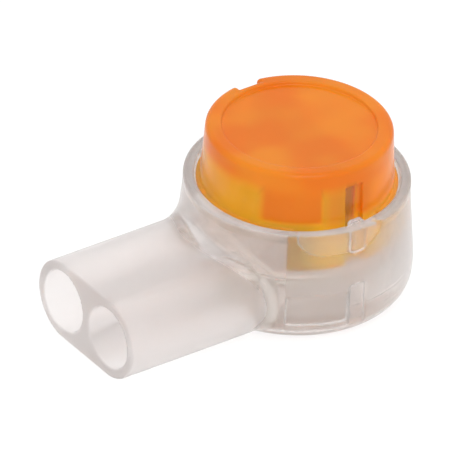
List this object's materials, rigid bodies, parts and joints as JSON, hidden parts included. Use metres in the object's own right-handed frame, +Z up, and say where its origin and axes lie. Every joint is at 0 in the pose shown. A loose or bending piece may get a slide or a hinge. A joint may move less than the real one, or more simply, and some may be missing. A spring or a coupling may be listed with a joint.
{
  "type": "gel-filled wire splice connector",
  "caption": "Clear two-port splice housing with a press-in amber button that drives a slotted contact through gel onto two wires.",
  "frame": {"origin": "where the cup's axis meets the flat underside", "axes": "+Z up along the cup's axis towards the button, the two ports open towards -X, +Y across the ports"},
  "size_m": [0.02, 0.0128, 0.01],
  "materials": {
    "clear_housing": "clear moulded polypropylene, slightly milky",
    "amber_button": "translucent amber moulded plastic",
    "tinned_contact": "stamped brass, bright tin plate",
    "sealing_gel": "clear soft sealing gel"
  },
  "bodies": {
    "housing": {"body": "clear_housing", "gel": "sealing_gel"},
    "press": {"button": "amber_button", "contact": "tinned_contact"}
  },
  "joints": [
    {"name": "button_press", "type": "slide", "parent": "housing", "child": "press", "axis": [0, 0, -1], "range_m": [0, 0.00314], "deforming": ["gel"]}
  ]
}
